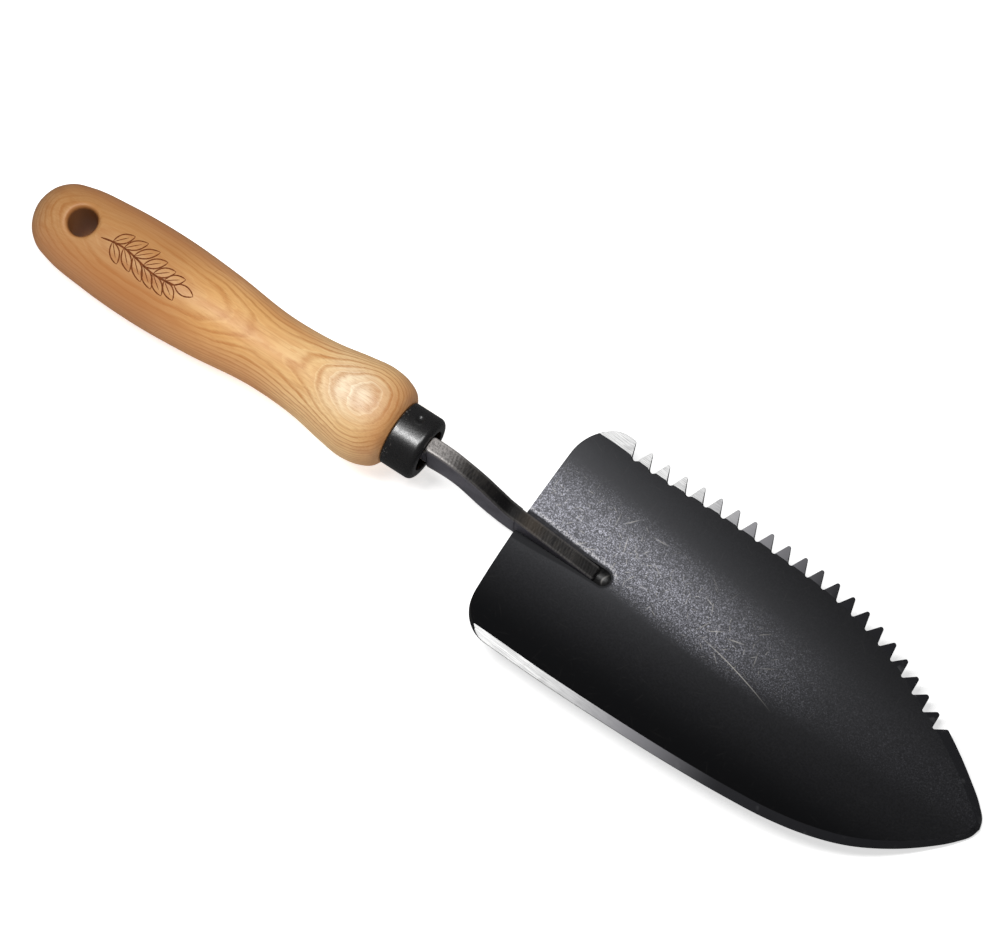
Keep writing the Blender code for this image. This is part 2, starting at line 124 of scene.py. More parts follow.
WELD_GAP = 0.25
BEAD_ENDS, BEAD_WIDTH, BEAD_HEIGHT = (3.0, 30.2), 2.5, 1.5
RIPPLE_PITCH, RIPPLE_DEPTH = 1.15, 0.10
PUDDLE_MIDDLE, PUDDLE_REAR = 33.0, 30.2
PUDDLE_TOP = (  # height, radius
    (-2.35, 0.05), (-2.33, 0.4), (-2.22, 0.9), (-2.05, 1.35), (-1.8, 1.8), (-1.45, 2.25),
    (-1.0, 2.6), (-0.8, 2.8),
)
PUDDLE_UNDERSIDE = (  # depth under the sheet, radius
    (0.0, 2.8), (0.0, 4.2), (0.7, 3.8), (1.3, 2.6), (1.6, 1.3), (1.65, 0.05),
)

# The camera stands above the tool, leaning towards its plain edge and its point.
LEAN_TO_PLAIN_EDGE = math.radians(17.0)
LEAN_TO_POINT = math.radians(10.53)
CAMERA_ROLL = math.radians(32.365)
CAMERA_DISTANCE = 1400.0
CAMERA_AIM = (178.54, 8.81, 2.69)
LENS = 155.2

LIGHTS = (  # name, place, what it points at, size in metres, power in watts
    ("blade_light", (180, 40, 400), (180, 40, 0), (0.12, 0.14), 0.7),
    ("grip_light", (60, -85, 400), (60, -40, 0), (0.12, 0.12), 1.1),
)
FLOOR_RADIUS, FLOOR_DEPTH = 4.0, 0.0004  # in metres


def tool_frame():
    """The tool's axes in the frame, from the ferrule, whose middle lies on the grip's axis."""
    low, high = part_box("ferrule")
    turn = Matrix.Rotation(-REST_TILT, 4, "Y")
    middle = turn @ Vector((sum(FERRULE) / 2 * MM, 0, 0))
    return Matrix.Translation((low + high) / 2 - middle) @ turn @ Matrix.Scale(MM, 4)


TOOL = tool_frame()
BLADE = (
    TOOL
    @ Matrix.Translation((BLADE_REAR[0], 0, BLADE_REAR[1]))
    @ Matrix.Rotation(BLADE_PITCH, 4, "Y")
)


# ---------------------------------------------------------------- materials


class Shader:
    """A Principled material and short calls for the nodes that feed it. Lengths are millimetres."""

    def __init__(self, name):
        self.material = bpy.data.materials.new(name)
        self.material.use_nodes = True
        self.tree = self.material.node_tree
        self.surface = self.tree.nodes["Principled BSDF"]
        self.place = self.node("ShaderNodeAttribute", attribute_name="place").outputs["Vector"]
        self.along, self.across, self.up = self.node(
            "ShaderNodeSeparateXYZ", {0: self.place}
        ).outputs

    def node(self, kind, inputs=None, **settings):
        made = self.tree.nodes.new(kind)
        for name, value in settings.items():
            setattr(made, name, value)
        for key, value in (inputs or {}).items():
            if isinstance(value, bpy.types.NodeSocket):
                self.tree.links.new(value, made.inputs[key])
            else:
                made.inputs[key].default_value = value
        return made

    def set(self, **values):
        for name, value in values.items():
            socket = self.surface.inputs[name.replace("_", " ")]
            if isinstance(value, bpy.types.NodeSocket):
                self.tree.links.new(value, socket)
            else:
                socket.default_value = value

    def math(self, operation, first, second=0.0, third=0.0, clamp=False):
        inputs = {0: first, 1: second, 2: third}
        return self.node(
            "ShaderNodeMath", inputs, operation=operation, use_clamp=clamp
        ).outputs[0]

    def plus(self, first, second):
        return self.math("ADD", first, second)

    def minus(self, first, second):
        return self.math("SUBTRACT", first, second)

    def times(self, first, *others):
        for other in others:
            first = self.math("MULTIPLY", first, other)
        return first

    def larger(self, first, second):
        return self.math("MAXIMUM", first, second)

    def distance(self, first, second):
        """How far a point is from the origin, from two of its coordinates."""
        return self.math(
            "SQRT", self.math("MULTIPLY_ADD", first, first, self.times(second, second))
        )

    def vector(self, operation, first, second=(0, 0, 0)):
        """Maths on vectors. A SCALE takes a number as its second value."""
        inputs = {0: first, "Scale" if operation == "SCALE" else 1: second}
        return self.node("ShaderNodeVectorMath", inputs, operation=operation).outputs[0]

    def noise(self, scale, detail=2.0, rough=0.5, shift=(0, 0, 0), turn=(0, 0, 0)):
        """Noise with a scale for each axis, as cells per millimetre."""
        moved = self.node(
            "ShaderNodeMapping", {"Vector": self.place, "Location": shift, "Rotation": turn}
        ).outputs[0]
        inputs = {
            "Vector": self.vector("MULTIPLY", moved, scale), "Scale": 1.0, "Detail": detail,
            "Roughness": rough,
        }
        return self.node("ShaderNodeTexNoise", inputs).outputs[0]

    def even_noise(self, scale, detail=2.0, rough=0.5, shift=(0, 0, 0)):
        return self.noise((scale, scale, scale), detail, rough, shift)

    def cells(self, vector, size):
        """The outputs of a pattern of grains of about one size."""
        return self.node("ShaderNodeTexVoronoi", {"Vector": vector, "Scale": 1 / size}).outputs

    def step(self, value, low, high, start=0.0, end=1.0):
        """Smoothly from start to end as the value goes from low to high."""
        inputs = {0: value, 1: low, 2: high, 3: start, 4: end}
        return self.node(
            "ShaderNodeMapRange", inputs, interpolation_type="SMOOTHSTEP", clamp=True
        ).outputs[0]

    def bump_near(self, value, centre, width):
        """1 where the value is at centre, fading to 0 at width on either side."""
        away = self.math("ABSOLUTE", self.minus(value, centre))
        return self.step(away, 0.0, width, 1.0, 0.0)

    def mix(self, share, first, second):
        inputs = {0: share, 6: first, 7: second}
        return self.node("ShaderNodeMix", inputs, data_type="RGBA").outputs[2]

    def relief(self, height, strength, distance=0.1, normal=None):
        """Bump from a height whose unit is the distance in millimetres."""
        inputs = {"Height": height, "Strength": strength, "Distance": distance * MM}
        if normal:
            inputs["Normal"] = normal
        self.set(Normal=self.node("ShaderNodeBump", inputs).outputs[0])

    def facets(self, size, lean):
        """The surface's normal, tipped in each grain its own way by up to half of lean."""
        way = self.vector("SUBTRACT", self.cells(self.place, size)["Color"], (0.5, 0.5, 0.5))
        normal = self.node("ShaderNodeNewGeometry").outputs["Normal"]
        return self.vector("NORMALIZE", self.vector("ADD", normal, self.vector("SCALE", way, lean)))

    def hairlines(self, size, length, width, share):
        """Fine straight scratches in plan, each at its own angle, one in a share of the cells."""
        flat = self.vector("MULTIPLY", self.place, (1, 1, 0))
        cells = self.cells(flat, size)
        luck = self.node("ShaderNodeSeparateColor", {0: cells["Color"]}).outputs
        inputs = {
            "Vector": self.vector("SUBTRACT", flat, cells["Position"]),
            "Angle": self.times(luck[0], math.tau),
        }
        turned = self.node("ShaderNodeVectorRotate", inputs, rotation_type="Z_AXIS").outputs[0]
        along, across, _ = self.node("ShaderNodeSeparateXYZ", {0: turned}).outputs
        line = self.times(self.bump_near(along, 0.0, length), self.bump_near(across, 0.0, width))
        return self.times(line, self.step(luck[1], 1 - share, 1.0))

    def attribute(self, name):
        return self.node("ShaderNodeAttribute", attribute_name=name).outputs["Fac"]


def rgb(red, green, blue):
    """A colour from its 0 to 255 screen values."""
    levels = [c / 255 for c in (red, green, blue)]
    linear = [c / 12.92 if c <= 0.04045 else ((c + 0.055) / 1.055) ** 2.4 for c in levels]
    return (*linear, 1.0)


def ash():
    """Flat-sawn ash under satin varnish: growth rings cut open by the turned shape."""
    s = Shader("ash")
    # Rings round the pith that wander a little.
    drift = s.noise((0.012, 0.03, 0.03), 2.0, 0.5)
    wander = s.times(s.minus(drift, 0.5), 5.0)
    ripple = s.noise((0.06, 0.16, 0.16), 2.0, 0.6)
    wander = s.plus(wander, s.times(s.minus(ripple, 0.5), 1.3))
    height = s.plus(s.minus(s.up, PITH[1]), wander)
    from_pith = s.distance(s.minus(s.across, PITH[0]), height)
    phase = s.math("FRACT", s.times(from_pith, 1 / RING_WIDTH))
    early = s.times(s.step(phase, 0.0, 0.22), s.step(phase, 0.25, 0.62, 1.0, 0.0))
    late = s.step(phase, 0.45, 1.0)

    # How strongly each ring's early wood shows, with its fibres and pores.
    strength = s.noise((0.02, 0.09, 0.09), 1.0, shift=(40, 0, 0))
    early = s.times(early, s.step(strength, 0.3, 0.6, 0.45, 1.0))
    dashes = s.noise((0.22, 3.0, 3.0), 3.0, 0.7, shift=(17, 0, 0))
    early = s.times(early, s.step(dashes, 0.3, 0.65, 0.6, 1.0))
    fibre = s.noise((0.05, 2.6, 2.6), 3.0, 0.6)
    pores = s.noise((0.32, 7.0, 7.0), 2.0, 0.5)
    pores = s.times(s.step(pores, 0.60, 0.72), s.step(early, 0.1, 0.6, 0.25, 1.0))
    cloud = s.noise((0.02, 0.06, 0.06), 2.0, shift=(0, 30, 0))

    # Colours, from the ground tone to the pores, paler over the front swell, with a painted
    # highlight at its crown.
    streaks = s.noise((0.015, 0.3, 0.3), 3.0, 0.6, shift=(8, 0, 5))
    colour = s.mix(s.step(cloud, 0.3, 0.7), rgb(222, 172, 108), rgb(236, 198, 142))
    colour = s.mix(s.step(streaks, 0.45, 0.7, 0.0, 0.55), colour, rgb(190, 126, 70))
    pale = s.bump_near(s.along, 124.0, 30.0)
    colour = s.mix(s.times(pale, 0.5), colour, rgb(240, 212, 160))
    # Painted highlight: near-white over the crown of the front swell, where the early wood fades
    # too.
    crown_highlight = s.times(s.bump_near(s.along, 128.0, 17.0), s.bump_near(s.across, -1.0, 13.0))
    colour = s.mix(s.times(crown_highlight, 0.8), colour, rgb(252, 240, 214))
    colour = s.mix(s.times(late, 0.3), colour, rgb(206, 142, 80))
    early_share = s.times(early, s.math("MULTIPLY_ADD", crown_highlight, -0.5, 0.9))
    colour = s.mix(early_share, colour, rgb(186, 120, 62))
    colour = s.mix(s.step(fibre, 0.4, 0.75, 0.0, 0.35), colour, rgb(178, 118, 64))
    colour = s.mix(s.times(pores, 0.6), colour, rgb(136, 78, 38))

    # Painted shade: darker in and round the hole's mouth, towards the butt, on the shoulder's slope
    # and on the grip's flanks, where less light falls.
    off_axis = s.plus(s.across, s.times(s.up, math.tan(GRIP_TURN)))
    from_hole = s.distance(off_axis, s.minus(s.along, HOLE_AT))
    colour = s.mix(s.step(from_hole, 5.1, 6.3, 0.9, 0.0), colour, rgb(112, 66, 36))
    butt = s.step(s.along, 48.0, 80.0, 0.66, 0.0)
    colour = s.mix(butt, colour, rgb(166, 108, 58))
    colour = s.mix(s.step(s.along, 133.0, 144.0, 0.0, 0.55), colour, rgb(184, 122, 74))
    flank_shade = s.step(s.math("ABSOLUTE", s.across), 5.0, 14.0)
    flank_shade = s.times(flank_shade, s.step(s.along, 92.0, 116.0, 0.5, 0.0))
    colour = s.mix(flank_shade, colour, rgb(188, 120, 68))
    s.set(
        Base_Color=colour, Roughness=s.step(fibre, 0.2, 0.8, 0.42, 0.54), Coat_Weight=0.06,
        Coat_Roughness=0.35, Specular_IOR_Level=0.3,
    )
    dips = s.minus(s.times(fibre, 0.25), s.times(pores, 0.5))
    s.relief(dips, 0.35, 0.06)
    return s.material


def char():
    """The burnt lines of the mark on the grip."""
    s = Shader("char")
    grain = s.noise((1.2, 3.0, 3.0), 3.0, 0.6)
    s.set(
        Base_Color=s.mix(s.step(grain, 0.3, 0.7), rgb(92, 46, 20), rgb(132, 74, 38)),
        Roughness=0.85, Specular_IOR_Level=0.15,
    )
    s.relief(grain, 0.4, 0.05)
    return s.material


def ferrule_black():
    """Satin black enamel with a slight orange peel, rubbed through in places at its rear rim."""
    s = Shader("ferrule_black")
    peel = s.even_noise(2.2, 3.0, 0.6)
    dust = s.even_noise(5, 2.0, 0.7)
    scuffs = s.noise((1.1, 0.9, 0.9), 4.0, 0.7, shift=(3, 0, 7))
    at_rear = s.step(s.along, FERRULE[0], FERRULE[0] + 2.6, 1.0, 0.0)
    worn = s.times(s.step(scuffs, 0.6, 0.66), at_rear)
    colour = s.mix(s.step(dust, 0.35, 0.75), rgb(17, 17, 18), rgb(34, 33, 33))
    s.set(
        Base_Color=s.mix(worn, colour, rgb(168, 164, 158)),
        Roughness=s.step(peel, 0.25, 0.75, 0.24, 0.36), Metallic=s.times(worn, 0.8),
        Specular_IOR_Level=0.7,
    )
    s.relief(s.plus(peel, s.times(dust, 0.3)), 0.3, 0.05)
    return s.material


def neck_black():
    """Torch-cut plate: smooth blue-black sides, dragged cut faces, rubbed corners, with painted
    highlight and shade along the cut faces.
    """
    s = Shader("neck_black")
    cut_face, corner = s.attribute("cut_face"), s.attribute("corner")
    speck = s.even_noise(3.2, 3.0, 0.65)
    drag = s.noise((2.1, 0.25, 0.25), 3.0, 0.6, turn=(0, 0, 0.12))
    cloud = s.even_noise(0.12, 3.0, 0.6)
    side = s.mix(s.step(cloud, 0.3, 0.7), rgb(74, 72, 80), rgb(90, 88, 96))
    cut = s.mix(s.step(drag, 0.3, 0.7), rgb(24, 23, 24), rgb(54, 51, 48))
    # Painted highlight: pale patches on the cut faces next to the ferrule, where the top lies flat.
    patches = s.even_noise(1.5, 4.0, 0.75, shift=(2, 0, 0))
    light = s.times(
        s.step(s.along, 157.0, 174.0, 0.9, 0.0), s.step(patches, 0.38, 0.6, 0.35, 1.0)
    )
    cut = s.mix(light, cut, rgb(168, 163, 160))
    # Painted shade: near black over the steep part of the bend.
    cut = s.mix(s.bump_near(s.along, 186.0, 13.0), cut, rgb(9, 8, 9))
    rust = s.bump_near(s.along, 197.0, 7.0)
    cut = s.mix(s.times(rust, 0.35), cut, rgb(84, 72, 58))
    # Painted shade where the tongue's end sinks into the slot.
    cut = s.mix(s.step(s.along, 213.0, 218.0, 0.0, 0.85), cut, rgb(14, 13, 13))
    colour = s.mix(cut_face, side, cut)
    colour = s.mix(s.step(speck, 0.62, 0.74, 0.0, 0.5), colour, rgb(120, 116, 114))
    rubbed = s.times(
        corner, s.step(s.along, 158.0, 176.0, 1.0, 0.2), s.step(speck, 0.35, 0.6, 0.35, 1.0)
    )
    s.set(
        Base_Color=s.mix(rubbed, colour, rgb(158, 154, 152)),
        Roughness=s.step(speck, 0.3, 0.7, 0.38, 0.54), Specular_IOR_Level=0.3,
        Metallic=s.times(rubbed, 0.8),
    )
    s.relief(s.plus(s.times(speck, 0.5), s.times(drag, cut_face, 0.7)), 0.4, 0.12)
    return s.material


def blade_black():
    """Black oxide on rolled sheet, with a painted sheen beside the slot and bright ground edges."""
    s = Shader("blade_black")
    grain = s.node("ShaderNodeSeparateColor", {0: s.cells(s.place, 1 / 3.4)["Color"]}).outputs[0]
    grain = s.math("POWER", grain, 3.0)
    fine = s.even_noise(1.7, 4.0, 0.75)
    cloud = s.even_noise(0.05, 3.0, 0.6)

    # The painted sheen band with painted sparkle in it, over a black with painted shade deepest
    # towards both edges.
    off_band = s.minus(s.across, s.step(s.along, 10.0, 90.0, 10.0, 4.6))
    band = s.times(s.step(off_band, 0.0, 19.0, 1.0, 0.0), s.step(off_band, -12.5, -2.0))
    fade = s.step(s.along, 35.0, 121.0, 1.0, 0.04)
    sheen = s.times(band, fade, s.step(cloud, 0.1, 0.7, 0.75, 1.1))
    sparkle = s.times(
        sheen, s.math("MULTIPLY_ADD", grain, 2.0, 0.22), s.step(fine, 0.38, 0.62, 0.15, 1.0)
    )
    colour = s.mix(s.step(fine, 0.38, 0.62), rgb(21, 21, 22), rgb(32, 32, 34))
    # Painted shade: darker towards both edges, where the rolled sheet curves up away from the
    # light.
    saw_side_shade = s.times(s.step(s.across, 10.0, 28.0), s.step(s.along, 12.0, 45.0, 0.8, 0.4))
    edges = s.larger(s.step(s.across, -34.0, -12.0, 0.95, 0.0), saw_side_shade)
    colour = s.mix(edges, colour, rgb(6, 6, 7))
    colour = s.mix(s.math("MULTIPLY", sparkle, 0.85, clamp=True), colour, rgb(186, 186, 198))

    # Painted shadow along both sides of the slot, where the tongue shades the sheet, and a painted
    # highlight as a bright lip on its saw side.
    off_slot = s.distance(s.across, s.larger(s.minus(s.along, SLOT_END), 0.0))
    off_slot = s.minus(off_slot, s.step(s.along, 0.0, 32.0, 1.9, 0.0))
    lip = s.times(
        s.bump_near(off_slot, 4.5, 0.9), s.step(s.across, 0.0, 3.0), s.step(fine, 0.42, 0.58)
    )
    colour = s.mix(s.times(lip, 0.75), colour, rgb(220, 218, 222))
    slot_shade = s.step(off_slot, 3.4, 4.0, 0.92, 0.0)

    # Fine scratches, shown bright mostly within the painted sheen as if catching its light there,
    # and one long one.
    hair = s.larger(s.hairlines(7.0, 4.0, 0.26, 0.6), s.hairlines(3.1, 1.8, 0.16, 0.8))
    hair = s.times(hair, s.step(sheen, 0.0, 0.5, 0.015, 1.0))
    scratch = 84.0
    run = s.minus(s.along, scratch)
    path = s.plus(s.times(run, -0.24), s.plus(s.times(run, run, -0.0035), -1.0))
    line = s.bump_near(s.minus(s.across, path), 0.0, 0.26)
    hair = s.larger(hair, s.times(line, s.bump_near(s.along, scratch, 20.0)))
    colour = s.mix(s.times(hair, 0.75), colour, rgb(206, 202, 194))
    colour = s.mix(slot_shade, colour, rgb(9, 9, 10))

    # The ground edges, bright at the rear, greyer and then dark towards the point.
    ground = s.attribute("ground")
    lines = s.noise((0.16, 5.5, 5.5), 3.0, 0.6, turn=(0, 0, 0.06))
    wash = s.even_noise(0.22, 2.0, shift=(9, 9, 9))
    steel = s.mix(s.step(lines, 0.35, 0.65), rgb(206, 206, 206), rgb(255, 255, 254))
    steel = s.mix(s.step(s.along, 30.0, 72.0), steel, rgb(150, 149, 153))
    steel = s.mix(s.step(s.along, 60.0, 104.0), steel, rgb(40, 40, 43))
    steel = s.mix(s.step(wash, 0.6, 0.75, 0.0, 0.25), steel, rgb(120, 120, 122))
    colour = s.mix(ground, colour, steel)
    s.set(
        Base_Color=colour, Roughness=s.math("MULTIPLY_ADD", slot_shade, 0.25, 0.36),
        Metallic=s.times(ground, s.step(s.along, 50.0, 104.0, 1.0, 0.0), 0.1),
        Specular_IOR_Level=0.28, Specular_Tint=(0.93, 0.94, 1.0, 1.0),
    )
    heights = s.times(fine, s.math("MULTIPLY_ADD", sheen, 0.85, 0.15))
    heights = s.plus(heights, s.times(lines, ground, 0.5))
    heights = s.minus(heights, s.times(hair, 0.4))
    s.relief(heights, 0.25, 0.05, s.facets(0.42, s.math("MULTIPLY_ADD", sheen, 0.12, 0.01)))
    return s.material


def weld_dark():
    """Weld metal under the same black finish painted darker than the sheet's, with a little scale
    and a painted crescent highlight in the puddle's dish.
    """
    s = Shader("weld_dark")
    scale = s.even_noise(1.6, 4.0, 0.65)
    # Painted shade: a darker black than the sheet's, so the pocket at the slot's end reads dark.
    colour = s.mix(s.step(scale, 0.35, 0.7), rgb(9, 9, 10), rgb(26, 25, 25))
    # Painted highlight: a pale crescent across the puddle's dish.
    bow = s.math("MULTIPLY_ADD", s.times(s.across, s.across), -0.22, s.along)
    ripple = s.times(s.bump_near(bow, 32.8, 0.5), s.bump_near(s.across, 0.3, 2.6))
    colour = s.mix(s.times(ripple, 0.8), colour, rgb(140, 137, 134))
    s.set(Base_Color=colour, Roughness=s.step(scale, 0.3, 0.7, 0.4, 0.55))
    s.relief(scale, 0.5, 0.12)
    return s.material


# ---------------------------------------------------------------- shapes


def spline(knots, steps):
    """Points of a smooth curve through the knots, with each chord cut into equal steps."""
    knots = np.array(knots, float)
    chords = np.linalg.norm(np.diff(knots, axis=0), axis=1)
    at = np.concatenate([[0.0], np.cumsum(chords)])
    slopes = np.gradient(knots, at, axis=0)
    curve = [knots[0]]
    for i, chord in enumerate(chords):
        for share in np.linspace(0.0, 1.0, steps + 1)[1:]:
            near, far = (1 + 2 * share) * (1 - share) ** 2, share**2 * (3 - 2 * share)
            leave, arrive = share * (1 - share) ** 2, share**2 * (share - 1)
            curve.append(
                near * knots[i] + far * knots[i + 1]
                + chord * (leave * slopes[i] + arrive * slopes[i + 1])
            )
    return np.array(curve)


def add_piece(name, points, faces, axes, material, nodes=(), layers=None, sharp=40.0):
    """A mesh in millimetres along one set of axes, laid in the frame and riding on its body."""
    points = np.asarray(points, float)
    mesh = bpy.data.meshes.new(name)
    mesh.from_pydata(points.tolist(), [], faces)
    place = mesh.attributes.new("place", "FLOAT_VECTOR", "POINT")
    place.data.foreach_set("vector", points.astype(np.float32).ravel())
    for layer, (domain, values) in (layers or {}).items():
        attribute = mesh.attributes.new(layer, "FLOAT", domain)
        attribute.data.foreach_set("value", np.asarray(values, np.float32))
    mesh.transform(axes)
    shell = bmesh.new()
    shell.from_mesh(mesh)
    bmesh.ops.recalc_face_normals(shell, faces=shell.faces)
    shell.to_mesh(mesh)
    shell.free()
    mesh.shade_smooth()
    mesh.set_sharp_from_angle(angle=math.radians(sharp))
    mesh.materials.append(material)
    piece = bpy.data.objects.new(name, mesh)
    bpy.context.collection.objects.link(piece)
    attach(piece, "root")
    if nodes:
        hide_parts(*nodes)


def tube_faces(rows, columns, closed=False):
    """Quads over rings of points, with a cap on each end or, if closed, back to the first ring."""
    faces = []
    for i in range(rows if closed else rows - 1):
        this, after = i * columns, (i + 1) % rows * columns
        for j in range(columns):
            k = (j + 1) % columns
            faces.append((this + j, this + k, after + k, after + j))
    if not closed:
        faces.append(tuple(range(columns))[::-1])
        faces.append(tuple(range((rows - 1) * columns, rows * columns)))
    return faces


def arc(centre, radius, start, end, steps):
    """Points on an arc, angles in degrees."""
    angles = np.radians(np.linspace(start, end, steps + 1))
    return [(centre[0] + radius * math.cos(a), centre[1] + radius * math.sin(a)) for a in angles]


def corner_trim(distance, radius):
    """How far a rounded corner stands back at a distance from its end."""
    return radius - math.sqrt(radius**2 - max(0.0, radius - distance) ** 2)


def nearest(points, others):
    """The distance from each point to the nearest of the others."""
    return np.linalg.norm(points[:, None] - others[None], axis=2).min(axis=1)


# ---------------------------------------------------------------- grip


def grip_radius():
    """The turned outline, as distances along the grip and radii."""
    return spline(GRIP_OUTLINE, 12) * (1.0, GRIP_TRIM)


def grip_field(points, outline):
    """Signed distance to the turned grip with its hole, its spigot and the bore for the tang."""
    along, out = points[:, 0], np.hypot(points[:, 1], points[:, 2])
    flat = np.stack([along, out], axis=1)
    start, leg = outline[:-1], np.diff(outline, axis=0)
    beside = np.searchsorted(outline[:, 0], along)
    reach = np.full(len(points), np.inf)
    for shift in range(-7, 8):
        i = np.clip(beside + shift, 0, len(leg) - 1)
        share = ((flat - start[i]) * leg[i]).sum(axis=1) / (leg[i] ** 2).sum(axis=1)
        foot = start[i] + np.clip(share, 0, 1)[:, None] * leg[i]
        reach = np.minimum(reach, np.linalg.norm(flat - foot, axis=1))
    inside = out < np.interp(along, outline[:, 0], outline[:, 1])
    body = np.maximum(np.where(inside, -reach, reach), along - GRIP_END)
    spigot = np.maximum.reduce([out - SPIGOT[0], SPIGOT[1] - along, along - SPIGOT[2]])
    bore = np.maximum(out - TANG_BORE[0], TANG_BORE[1] - along)
    solid = np.maximum(np.minimum(body, spigot), -bore)
    lean = points[:, 1] * math.cos(GRIP_TURN) + points[:, 2] * math.sin(GRIP_TURN)
    outside_hole = HOLE_RADIUS - np.hypot(along - HOLE_AT, lean)
    rounding = np.where(points[:, 2] > 0, *HOLE_ROUNDING)
    near = np.maximum(rounding + solid, 0), np.maximum(rounding + outside_hole, 0)
    return np.minimum(-rounding, np.maximum(solid, outside_hole)) + np.hypot(*near)


def settled(points, field, rounds):
    """Moves points onto the zero of a distance field, a short step at a time."""
    nudge, longest, least_slope = 0.02, 0.3, 0.2
    for _ in range(rounds):
        value = field(points)
        slope = np.stack(
            [(field(points + nudge * axis) - value) / nudge for axis in np.eye(3)], axis=1
        )
        size = np.maximum((slope**2).sum(axis=1), least_slope)
        points = points - slope * np.clip(value / size, -longest, longest)[:, None]
    return points


def make_grip():
    """The frame's grip remeshed evenly, then settled on its exact turned and drilled form."""
    rough = bpy.data.objects.new("rough_grip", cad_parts["handle"].data.copy())
    bpy.context.collection.objects.link(rough)
    rough.data.transform(TOOL.inverted())
    remesh = rough.modifiers.new("even", "REMESH")
    remesh.mode = "VOXEL"
    remesh.voxel_size = GRIP_VOXEL
    mesh = rough.evaluated_get(bpy.context.evaluated_depsgraph_get()).to_mesh()
    points = np.array([vert.co for vert in mesh.vertices])
    faces = [tuple(face.vertices) for face in mesh.polygons]
    bpy.data.objects.remove(rough)
    outline = grip_radius()
    points = settled(points, lambda where: grip_field(where, outline), 5)
    add_piece("grip", points, faces, TOOL, ash(), ["handle"], sharp=70.0)


# ---------------------------------------------------------------- mark


def ribbon(line, width):
    """A closed strip along a line drawn on the grip, narrower at its ends and a hair proud."""
    outline = grip_radius()
    line = np.asarray(line, float)
    run = np.gradient(line, axis=0)
    run /= np.linalg.norm(run, axis=1)[:, None]
    side = np.stack([-run[:, 1], run[:, 0]], axis=1)
    from_end = np.minimum(np.arange(len(line)), np.arange(len(line))[::-1])
    taper = np.minimum(1.0, 0.35 + 0.65 * from_end / 2)
    points = []
    for offset, lift in (
        (-0.5, MARK_SUNK), (-0.36, MARK_PROUD), (0.36, MARK_PROUD), (0.5, MARK_SUNK)
    ):
        path = line + side * (offset * width * taper)[:, None]
        radius = np.interp(path[:, 0], outline[:, 0], outline[:, 1])
        turn = path[:, 1] / radius - GRIP_TURN - MARK_TURN
        radius = radius + lift
        points.append(np.stack([path[:, 0], radius * np.sin(turn), radius * np.cos(turn)], 1))
    return np.stack(points, axis=1).reshape(-1, 3), tube_faces(len(line), 4)


def leaf(root, heading, length):
    """The two curved sides of a pointed leaf."""
    share = np.linspace(0.0, 1.0, 15)[:, None]
    ahead = np.array([math.cos(heading), math.sin(heading)])
    aside = LEAF_WIDTH / 2 * np.array([-ahead[1], ahead[0]])
    middle, bulge = root + share * length * ahead, np.sin(np.pi * share) ** 0.8 * aside
    return [middle + bulge, (middle - bulge)[::-1]]


def make_mark():
    """A plain sprig burnt into the grip: a stem with pairs of leaves and a leaf at its end."""
    share = np.linspace(0.0, 1.0, 40)
    stem = np.stack(
        [MARK_AT + MARK_LENGTH * (share - 0.5), 1.1 * np.sin(2.2 * np.pi * share)], axis=1
    )
    lines = [(stem[:-5], STEM_LINE)]
    for pair in range(LEAF_PAIRS):
        root = stem[5 + pair * 5]
        size = 8.8 - 0.6 * abs(pair - 2)
        for side in (-1, 1):
            heading = side * math.radians(48.0 - 2.5 * pair)
            lines += [(edge, LEAF_LINE) for edge in leaf(root, heading, size)]
            tip = root + 0.72 * size * np.array([math.cos(heading), math.sin(heading)])
            lines.append((np.linspace(root, tip, 8), VEIN_LINE))
    lines += [(edge, LEAF_LINE) for edge in leaf(stem[-6], 0.0, 7.4)]
    points, faces = [], []
    for line, width in lines:
        made, quads = ribbon(line, width)
        first = sum(len(part) for part in points)
        points.append(made)
        faces += [tuple(first + i for i in quad) for quad in quads]
    add_piece("sprig_mark", np.concatenate(points), faces, TOOL, char(), sharp=80.0)


# ---------------------------------------------------------------- ferrule


def make_ferrule():
    """A ring with a rolled-in front and two punch marks."""
    rear, front = FERRULE
    outer, wall, lip = FERRULE_RADIUS, FERRULE_WALL, FERRULE_LIP
    inner, arris, mouth = lip - 0.6, FERRULE_ARRIS, MOUTH_ARRIS
    profile = [(rear, outer - wall + 0.2), (rear, outer - arris)]
    profile += arc((rear + arris, outer - arris), arris, 180, 90, 4)
    profile += [(x, outer) for x in np.linspace(rear + 2 * arris, front - lip - 0.2, 34)]
    profile += arc((front - lip, outer - lip), lip, 90, 0, 14)
    profile += arc((front - mouth, MOUTH_RADIUS + mouth), mouth, 0, -90, 5)
    profile += arc((front - wall - inner, outer - wall - inner), inner, 0, 90, 8)
    profile += [(rear + 0.2, outer - wall)]
    sides = 200
    turns = np.linspace(0, math.tau, sides, endpoint=False)
    points = np.array(
        [(x, r * math.sin(turn), r * math.cos(turn)) for x, r in profile for turn in turns]
    )
    for turn in np.radians(PUNCH_TURNS):
        centre = np.array([PUNCH_AT, outer * math.sin(turn), outer * math.cos(turn)])
        away = np.linalg.norm(points - centre, axis=1)
        pit = PUNCH_DEPTH * np.clip(1 - (away / PUNCH_RADIUS) ** 2, 0, 1) ** 1.5
        burr = BURR_HEIGHT * np.exp(-(((away - BURR_AT) / BURR_WIDTH) ** 2))
        radius = np.linalg.norm(points[:, 1:], axis=1)
        depth = np.where(radius > outer - 0.3, pit - burr, 0.0)
        points[:, 1:] *= (1 - depth / np.maximum(radius, 1))[:, None]
    faces = tube_faces(len(profile), sides, closed=True)
    add_piece("ferrule_ring", points, faces, TOOL, ferrule_black(), ["ferrule"])


# ---------------------------------------------------------------- neck


